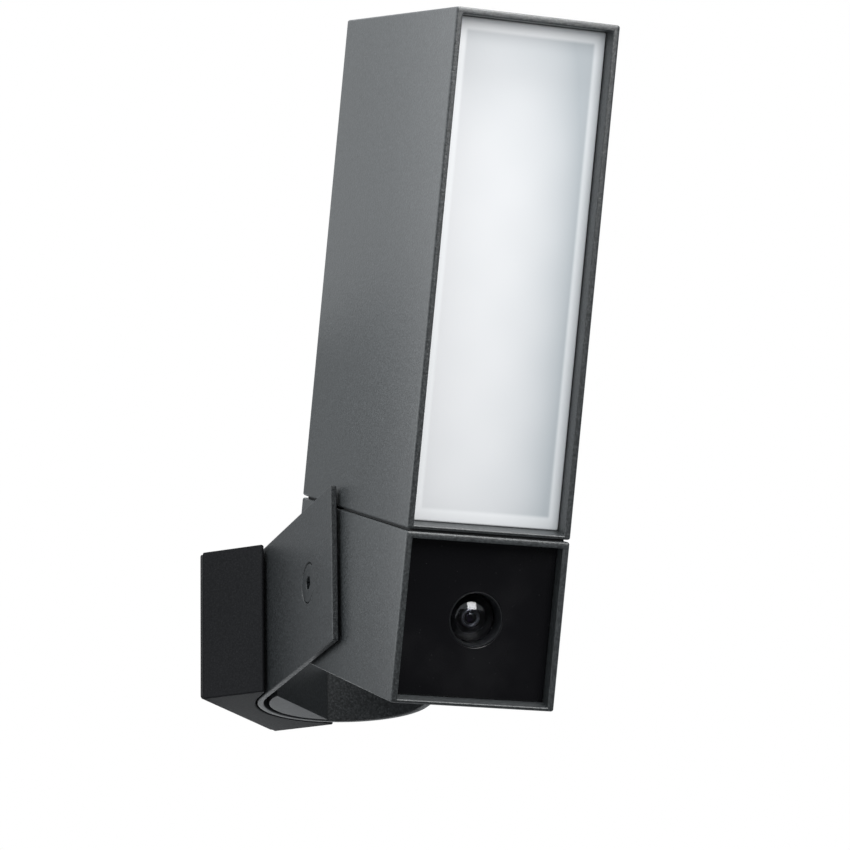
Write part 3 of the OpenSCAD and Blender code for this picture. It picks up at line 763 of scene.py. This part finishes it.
def socket_head(radius, height, key):
    """Round screw head along +Y from y = 0, with a rounded crown and a hexagon socket sunk in it."""
    edge, middle, foot = 0.35, 0.02, 0.15
    rows = [(middle, 0.0), (radius - foot, 0.0), (radius, foot)]
    rows += [tuple(p) for p in quarter(radius - edge, height - edge, edge, 0, 90)]
    rows += [(key + 0.12, height, 1), (key, height - 0.12, 1)]
    rows += [(key, height * 0.35, 1), (middle, height * 0.25, 1)]
    return loft(revolved(rows, 48))


def gland_profile(seat):
    """Closed profile of the gland: a bored body through the cover, a hexagon nut and a domed cap. seat is
    the cover's outer face."""
    bore, body, nut, cap, edge = 3.3, 6.4, 8.5, 5.6, 0.5
    rows = [(bore, seat - 3), (body, seat - 3), (body, seat + 1.9)]
    rows += [(nut - edge, seat + 1.95, 1), (nut, seat + 2.3, 1)]
    rows += [(nut, seat + 6.4, 1), (nut - edge, seat + 6.9, 1), (6.6, seat + 6.95, 0)]
    rows += [(radius, y) for radius, y in quarter(cap, seat + 7.6, 0.9, 0, 90)]
    rows += [(3.9, seat + 8.5), (3.4, seat + 8.3), (bore, seat + 7.8)]
    return rows


class FLOOD_OT_rear_covers(bpy.types.Operator):
    """Makes the inset rear covers, their screws, and the lead's gland"""

    bl_idname = "floodlight.rear_covers"
    bl_label = "Rear covers"

    def execute(self, context):
        h = settings().head
        seat = h.behind - h.cover_inset
        head_radius, head_height, key, sunk = 2.7, 1.58, 1.3, 1.28
        screws = []
        for block in ("light", "camera"):
            softened_copy(block + "_rear_cover", "head", "paint_casing", 0.3)
        for block in ("light", "camera"):
            x0, x1, z0, z1 = head_box(block)
            for x in (x0 + h.boss, x1 - h.boss):
                for z in (z0 + h.boss + COVER_FIT, z1 - h.boss - COVER_FIT):
                    screws.append(moved(socket_head(head_radius, head_height, key), x, seat - sunk, z))
        piece("rear_cover_screw_heads", joined(*screws), HEAD, "head", ("rear_cover_screws",), "zinc_steel")
        head_turning("lead_gland_nut", gland_profile(seat), ("lead_gland",), "rubber")
        return {"FINISHED"}


class FLOOD_OT_front(bpy.types.Operator):
    """Makes the frosted diffuser and the camera's dark glass"""

    bl_idname = "floodlight.front"
    bl_label = "Diffuser and dark glass"

    def execute(self, context):
        h, lens = settings().head, settings().lens
        front = -(h.depth - h.behind)
        x0, x1, z0, z1 = head_box("light")
        y, thickness, edge, bulge, reach = front + h.light_recess, 3.0, 0.5, 0.18, 20
        rows = [(0.4, 0.4, y + thickness), (0.0, 0.0, y + thickness - 0.4)]
        rows += [(a, a, b) for a, b in quarter(edge, y + edge, edge, 180, 270)]
        for a in (4.0, 8.0, 12.0, 16.0, 20.0, 22.5):
            rows.append((a, a, y - bulge * math.sin(math.pi / 2 * a / reach)))
        fit = h.wall + DIFFUSER_FIT
        points, faces = loft(carried(rows, x0 + fit, x1 - fit, z0 + fit, z1 - fit, 0.6))
        uv = np.stack([(points[:, 0] - x0) / (x1 - x0), (points[:, 2] - z0) / (z1 - z0)], -1)
        piece("frosted_diffuser", (points, faces), HEAD, "head", ("diffuser",), "diffuser_frost", uv=uv)

        x0, x1, z0, z1 = head_box("camera")
        fit, thickness, mouth = h.wall + COVER_FIT, 2.0, lens.mouth / 2
        y = front + h.glass_recess + thickness / 2
        ring = holed_cell(x0 + fit, x1 - fit, z0 + fit, z1 - fit, (0, 0), mouth, mouth, mouth, (24, 24))
        loops = np.stack([ring[..., 0], np.full(ring.shape[:2], y), ring[..., 1]], -1)
        piece("dark_front_glass", loft(loops, caps=False), HEAD, "head", ("camera_glass",), "black_glass",
              bevel=0.3, solid=thickness)
        return {"FINISHED"}


class FLOOD_OT_lens(bpy.types.Operator):
    """Makes the lens: its conical bezel, the clear front lens and the rings behind it"""

    bl_idname = "floodlight.lens"
    bl_label = "Lens"

    def execute(self, context):
        h, lens = settings().head, settings().lens
        glass = -(h.depth - h.behind) + h.glass_recess
        mouth, dome = lens.mouth / 2, lens.dome / 2
        rim = glass + lens.depth
        bezel = [(mouth - 0.05, glass + 0.25), (mouth - 0.12, glass + 0.08), (mouth - 0.35, glass + 0.05)]
        bezel += [(mouth - 0.5, glass + 0.3), (mouth - 0.8, glass + 2.0), (dome + 0.25, rim - 0.9)]
        bezel += [(dome + 0.1, rim), (dome + 0.05, rim + 2.0), (mouth + 1.5, rim + 2.0)]
        bezel += [(mouth + 1.5, glass + 2.1), (mouth - 0.05, glass + 2.0)]
        head_turning("lens_bezel_cone", bezel, ("lens_bezel",), "bezel_black")

        ball = (dome * dome + lens.dome_height ** 2) / (2 * lens.dome_height)
        thickness, taper = 1.1, 0.93
        hollow = ball - thickness
        angle = np.linspace(math.asin(dome / ball), 0.01, DOME_STEPS)
        top = rim - lens.dome_height
        shell = [(ball * math.sin(t), top + ball * (1 - math.cos(t))) for t in angle]
        for t in angle[::-1] * taper:
            shell.append((hollow * math.sin(t), top + thickness + hollow * (1 - math.cos(t))))
        shell += [(dome - 0.7, rim + 0.5), (dome, rim + 0.5)]
        head_turning("front_lens", shell, ("lens_dome",), "lens_glass", "clear_lens")

        well = [(dome - 0.05, rim + 0.6), (dome - 0.1, rim + 0.45), (dome - 0.5, rim + 0.3), (4.6, rim + 0.9)]
        well += [(4.5, rim + 1.1), (3.0, rim + 1.6), (2.9, rim + 1.9), (2.3, rim + 2.0), (2.3, rim + 2.6)]
        well += [(dome - 0.05, rim + 2.6)]
        head_turning("lens_well", well, (), "bezel_black", "baffle_black")
        ring = [(2.9, rim + 1.9), (2.85, rim + 0.85), (2.7, rim + 0.7), (2.5, rim + 0.7), (2.4, rim + 0.85)]
        ring += [(2.1, rim + 1.1), (1.95, rim + 0.9), (1.8, rim + 0.9), (1.7, rim + 1.0), (1.7, rim + 1.9)]
        head_turning("inner_lens_ring", ring, (), "bezel_black", "lens_ring")
        radius, bulge = 1.68, 0.75
        bead = [(radius, rim + 1.8)]
        for t in np.linspace(0.0, 1.56, 12):
            bead.append((radius * math.cos(t), rim + 1.1 - bulge * math.sin(t)))
        head_turning("inner_lens", bead, (), "lens_glass", closed=False)
        return {"FINISHED"}


class FLOOD_OT_card_cover(bpy.types.Operator):
    """Makes the card slot's cover and its two screws under the camera"""

    bl_idname = "floodlight.card_cover"
    bl_label = "Card cover"

    def execute(self, context):
        softened_copy("card_cover", "head", "paint_casing", 0.15)
        softened_copy("card_cover_screws", "head", "zinc_steel", 0.08)
        return {"FINISHED"}


# ---- the fork and its pivots


def fork_point(s, v, radius):
    """Points on the fork's middle surface, s along it from the back and v up, both in millimetres.

    Up to a quarter circle from the back, s runs round the circle, and past it straight along the arm."""
    quarter_turn = radius * math.pi / 2
    turn = np.clip(s, -quarter_turn, quarter_turn) / radius
    straight = np.maximum(np.abs(s) - quarter_turn, 0)
    return np.stack([radius * np.sin(turn), radius * np.cos(turn) - straight, v], -1)


class FLOOD_OT_fork(bpy.types.Operator):
    """Makes the fork: a band bent round its back, with a slot and two pivot holes"""

    bl_idname = "floodlight.fork"
    bl_label = "Fork"

    def execute(self, context):
        k = settings().fork
        radius = k.radius - k.thickness / 2
        turn = radius * math.pi / 2
        end = turn + k.pivot + k.front
        top = k.height / 2
        slot, slot_corner = radius * math.radians(k.slot_angle), 1.5
        cap = k.cap + CAP_FIT
        across, arm_rows = 24, 8
        cells = [(-turn, turn, 0.0, slot, k.slot_half_height, slot_corner, 96)]
        for s in (-1, 1):
            u = sorted((s * (turn + k.pivot - top), s * end))
            cells.append((*u, s * (turn + k.pivot), cap, cap, cap, 24))
        parts = []
        for u0, u1, hole, half_u, half_v, corner, along in cells:
            ring = holed_cell(u0, u1, -top, top, (hole, 0), half_u, half_v, corner, (along, across))
            parts.append(loft(fork_point(ring[..., 0], ring[..., 1], radius), caps=False))
        arm = np.linspace(turn, turn + k.pivot - top, arm_rows + 1)
        u, v = np.meshgrid(arm, np.linspace(-top, top, across + 1), indexing="ij")
        for s in (-1, 1):
            grid = fork_point(s * u, v, radius)
            parts.append((grid.reshape(-1, 3), grid_faces(*u.shape, False, False).tolist()))
        piece("fork_band", joined(*parts), FORK, "fork", ("fork",), "paint_arm", bevel=0.4, solid=k.thickness)
        return {"FINISHED"}


class FLOOD_OT_pivots(bpy.types.Operator):
    """Makes the two pivot screws, flush in the arms, and the washers inside the arms"""

    bl_idname = "floodlight.pivots"
    bl_label = "Pivots"

    def execute(self, context):
        k, h = settings().fork, settings().head
        face, foot, shoulder = k.radius - CAP_FIT, h.width / 2 + 0.05, k.radius - 1.2
        shank, key, middle, edge, inset = 4.0, 2.3, 0.02, 0.35, 0.1
        cap = [(middle, foot), (shank, foot), (shank, shoulder), (k.cap - inset, shoulder)]
        cap += [tuple(p) for p in quarter(k.cap - inset - edge, face - edge, edge, 0, 90)]
        cap += [(key + 0.2, face, 1), (key, face - 0.2, 1), (key, face - 2.2, 1), (middle, face - 2.5, 1)]
        bore, outside, thickness = 4.3, 10.0, 0.6
        washer = [(bore, 0.05), (bore + 0.15, 0.0), (outside - 0.2, 0.0), (outside, 0.2)]
        washer += [(outside, thickness), (bore, thickness)]
        at_pivot = FORK @ Matrix.Translation((0, -k.pivot, 0))
        screw = sideways(loft(revolved(cap)))
        ring = moved(sideways(loft(revolved(washer), closed=True)), k.radius - k.thickness - thickness)
        for side, s in (("left", -1), ("right", 1)):
            mirror = np.array([s, 1, 1])
            piece("pivot_cap_" + side, (screw[0] * mirror, screw[1]), HEAD, "head",
                  ("pivot_screw_" + side,), "pivot_paint")
            piece("friction_washer_" + side, (ring[0] * mirror, ring[1]), at_pivot, "fork",
                  ("tilt_washer_" + side,), "black_nylon")
        return {"FINISHED"}


# ---- the wall block


# Thickness of the gasket between the block and the wall, and the pocket for the wall plate, in millimetres
GASKET = 1.0
POCKET_RIM = 2.0
POCKET_DEPTH = 5.0


def block_outline():
    """Outline of the wall block about the pan axis: a box whose front is hollowed by the nest.

    From each horn's tip a straight side runs at the pan limit's angle to touch the nest's circle."""
    k = settings().fork
    nest, half = k.radius + k.nest, k.block_width / 2
    back, front = -PAN_AT.y - GASKET, -PAN_AT.y - k.block_depth
    limit = math.radians(k.pan_limit)
    touch_x, touch_y = -nest * math.cos(limit), nest * math.sin(limit)
    tip_x = touch_x - math.sin(limit) * (touch_y - front) / math.cos(limit)
    turn = np.linspace(math.pi - limit, limit, NEST_STEPS + 1)
    arc = np.stack([nest * np.cos(turn), nest * np.sin(turn)], -1)
    side = np.array([[-half, back], [-half, front], [tip_x, front]])
    return np.concatenate([side, arc, (side * np.array([-1, 1]))[::-1]])


class FLOOD_OT_wall_block(bpy.types.Operator):
    """Makes the painted wall block with the nest for the fork's round back"""

    bl_idname = "floodlight.wall_block"
    bl_label = "Wall block"

    def execute(self, context):
        k = settings().fork
        outline = block_outline()
        points, faces = outline_prism(outline, -k.height / 2, k.height / 2)
        count = len(outline)
        back_face = {0, count - 1, count, 2 * count - 1}
        faces = [f for f in faces if set(f) != back_face]
        x, y, z = k.block_width / 2, outline[0][1], k.height / 2
        pocket = []
        for rim, depth in ((0.0, y), (POCKET_RIM, y), (POCKET_RIM, y - POCKET_DEPTH)):
            a, b = x - rim, z - rim
            pocket.append([[-a, depth, -b], [a, depth, -b], [a, depth, b], [-a, depth, b]])
        pocket_points, pocket_faces = loft(np.array(pocket), caps=False)
        pocket_faces.append([8, 9, 10, 11])
        body = joined((points, faces), (pocket_points, pocket_faces))
        piece("wall_block_body", body, WALL, "wall_base", ("wall_block",), "paint_block", bevel=k.block_edge)
        return {"FINISHED"}


class FLOOD_OT_wall_fittings(bpy.types.Operator):
    """Finishes the clamp hub, the wall plate, the screws and the grommets"""

    bl_idname = "floodlight.wall_fittings"
    bl_label = "Wall fittings"

    def execute(self, context):
        softened_copy("clamp_hub", "wall_base", "paint_hub", 0.3)
        softened_copy("clamp_screws", "wall_base", "zinc_steel", 0.15)
        softened_copy("plate_screws", "wall_base", "zinc_steel", 0.1)
        softened_copy("wall_plate", "wall_base", "zinc_steel", 0.15)
        k = settings().fork
        inset, width, edge = 0.4, 1.97, 0.25
        x, z, y = k.block_width / 2 - inset, k.height / 2 - inset, -PAN_AT.y
        ring = [(a, a, b) for a, b in quarter(edge, y - GASKET + edge, edge, 180, 270)]
        ring += [(width, width, y - GASKET), (width, width, y)]
        ring += [(a, a, b) for a, b in quarter(edge, y - edge, edge, 90, 180)]
        piece("gasket_frame", loft(carried(ring, -x, x, -z, z, 1.0), closed=True), WALL, "wall_base",
              ("wall_gasket",), "rubber")
        softened_copy("entry_grommet", "wall_base", "rubber", 0.25)
        softened_copy("hub_grommet", "wall_base", "rubber", 0.25)
        return {"FINISHED"}


# ---- the rest and the stage


class FLOOD_OT_fittings(bpy.types.Operator):
    """Gives every CAD node the finish of its slot"""

    bl_idname = "floodlight.fittings"
    bl_label = "Other fittings"

    def execute(self, context):
        for node, obj in NODES.items():
            finish = FINISHES[slot_of(node)]
            obj.data.materials.clear()
            obj.data.materials.append(finish)
        return {"FINISHED"}


# A black card below the view, met only by reflections, keeps the dark glass dark.
FLAG_AT = Vector((-0.28, -0.52, -0.40))
FLAG_WIDTH, FLAG_HEIGHT = 1.6, 1.05
FLOOR_REACH = 30
COOL, WHITE = (0.95, 0.98, 1.0), (1.0, 1.0, 1.0)
# Lamps in the wall's plane, facing out: name, x, z, width and height in metres, brightness of the face.
WALL_LAMP_Y = 0.03
WALL_LAMPS = (
    ("wall_far_left", -0.90, 0.42, 0.74, 0.94, 1.0),
    ("wall_left", -0.31, 0.42, 0.44, 0.94, 1.4),
    ("wall_right", 0.38, 0.42, 0.68, 0.94, 1.05),
    ("wall_above", -0.025, 0.52, 0.13, 0.80, 0.30),
)
# Soft boxes: name, place, point faced, width, height, brightness of the face.
SOFT_BOXES = (
    ("overhead", (-0.45, -0.55, 1.20), (-0.06, -0.08, 0.08), 0.80, 0.60, 16.0),
    ("front_box", (-0.43, -0.58, 0.22), (-0.10, -0.12, 0.02), 0.30, 0.46, 6.0),
)


def sheet(name, half_x, half_y, z=0.0):
    """A flat rectangle that faces up at a height, in metres."""
    mesh = bpy.data.meshes.new(name)
    corners = [(-half_x, -half_y, z), (half_x, -half_y, z), (half_x, half_y, z), (-half_x, half_y, z)]
    mesh.from_pydata(corners, [], [(0, 1, 2, 3)])
    obj = bpy.data.objects.new(name, mesh)
    bpy.context.scene.collection.objects.link(obj)
    return obj


def area_light(name, at, to, width, height, brightness, tone):
    """A soft lamp at a point, turned to face another, hidden from the camera.

    Its power is its face's brightness times pi times its area."""
    data = bpy.data.lights.new(name, "AREA")
    data.shape = "RECTANGLE"
    data.size, data.size_y = width, height
    data.energy = brightness * math.pi * width * height
    data.color = tone
    obj = bpy.data.objects.new(name, data)
    bpy.context.scene.collection.objects.link(obj)
    obj.location = at
    obj.rotation_euler = (Vector(to) - Vector(at)).to_track_quat("-Z", "Y").to_euler()
    obj.visible_camera = False


class FLOOD_OT_stage(bpy.types.Operator):
    """Makes the camera, the pale floor, the surroundings and the lights"""

    bl_idname = "floodlight.stage"
    bl_label = "Stage"

    def execute(self, context):
        s = settings().stage
        scene = context.scene
        heading, rise = math.radians(s.azimuth), math.radians(s.rise)
        level = math.cos(rise)
        view = Vector((math.sin(heading) * level, math.cos(heading) * level, math.sin(rise)))
        camera = bpy.data.objects.new("camera", bpy.data.cameras.new("camera"))
        scene.collection.objects.link(camera)
        camera.location = Vector(s.target) - view * s.distance
        turn = view.to_track_quat("-Z", "Y") @ Matrix.Rotation(math.radians(-s.roll), 4, "Z").to_quaternion()
        camera.rotation_euler = turn.to_euler()
        camera.data.lens = s.lens
        camera.data.sensor_width = 36
        camera.data.clip_start, camera.data.clip_end = 0.01, 50
        scene.camera = camera

        floor = sheet("floor", FLOOR_REACH, FLOOR_REACH, CAD_BOX[0].z - s.floor_drop)
        paper = Finish("floor_paper")
        mottle = paper.noise(3.0, 4.0)
        floor.data.materials.append(paper.surface(
            Base_Color=paper.blend(mottle, (0.84, 0.84, 0.85, 1.0), (0.88, 0.88, 0.88, 1.0)),
            Roughness=0.9 - mottle * 0.1,
        ))

        flag = sheet("flag", FLAG_WIDTH / 2, FLAG_HEIGHT / 2)
        flag.location = FLAG_AT
        toward = HEAD.translation * MM - flag.location
        flag.rotation_euler = toward.to_track_quat("Z", "Y").to_euler()
        flag.visible_camera = flag.visible_diffuse = flag.visible_shadow = False
        cloth = Finish("flag_cloth")
        weave = cloth.noise(400.0, 2.0)
        flag.data.materials.append(cloth.surface(
            Base_Color=cloth.blend(weave, (0.004, 0.004, 0.004, 1.0), (0.008, 0.008, 0.008, 1.0)),
            Roughness=weave * 0.1 + 0.9,
        ))

        world = bpy.data.worlds.new("surroundings")
        scene.world = world
        world.use_nodes = True
        nodes, links = world.node_tree.nodes, world.node_tree.links
        room = nodes["Background"]
        room.inputs["Color"].default_value = (0.93, 0.97, 1.0, 1.0)
        room.inputs["Strength"].default_value = s.room
        backdrop = nodes.new("ShaderNodeBackground")
        backdrop.inputs["Color"].default_value = (1.0, 1.0, 1.0, 1.0)
        backdrop.inputs["Strength"].default_value = s.backdrop
        choice = nodes.new("ShaderNodeMixShader")
        links.new(nodes.new("ShaderNodeLightPath").outputs["Is Camera Ray"], choice.inputs[0])
        links.new(room.outputs[0], choice.inputs[1])
        links.new(backdrop.outputs[0], choice.inputs[2])
        links.new(choice.outputs[0], nodes["World Output"].inputs[0])
        for name, x, z, width, height, brightness in WALL_LAMPS:
            area_light(name, (x, WALL_LAMP_Y, z), (x, -1.0, z), width, height, brightness, COOL)
        for box in SOFT_BOXES:
            area_light(*box, WHITE)
        scene.view_settings.view_transform = "Standard"
        return {"FINISHED"}


OPERATORS = (
    FLOOD_OT_stage, FLOOD_OT_fittings, FLOOD_OT_casings, FLOOD_OT_rear_covers, FLOOD_OT_front, FLOOD_OT_lens,
    FLOOD_OT_card_cover, FLOOD_OT_fork, FLOOD_OT_pivots, FLOOD_OT_wall_block, FLOOD_OT_wall_fittings,
)
GROUPS = (HeadSizes, LensSizes, ForkSizes, Colours, StageSettings, FloodlightSettings)


class FLOOD_PT_panel(bpy.types.Panel):
    """Lists the settings and the steps that build the object"""

    bl_label = "Floodlight Camera"
    bl_idname = "FLOOD_PT_panel"
    bl_space_type = "VIEW_3D"
    bl_region_type = "UI"
    bl_category = "Floodlight Camera"

    def draw(self, context):
        for group in ("head", "lens", "fork", "colours", "stage"):
            box = self.layout.box()
            box.label(text=group.capitalize())
            owner = getattr(context.scene.floodlight, group)
            for key in owner.__annotations__:
                box.prop(owner, key)
        for operator in OPERATORS:
            self.layout.operator(operator.bl_idname)


def register():
    for item in GROUPS + OPERATORS + (FLOOD_PT_panel,):
        bpy.utils.register_class(item)
    bpy.types.Scene.floodlight = PointerProperty(type=FloodlightSettings)


def unregister():
    del bpy.types.Scene.floodlight
    for item in reversed(GROUPS + OPERATORS + (FLOOD_PT_panel,)):
        bpy.utils.unregister_class(item)


def main():
    """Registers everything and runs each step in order."""
    register()
    make_finishes()
    for operator in OPERATORS:
        group, name = operator.bl_idname.split(".")
        getattr(getattr(bpy.ops, group), name)()


if __name__ == "__main__":
    main()
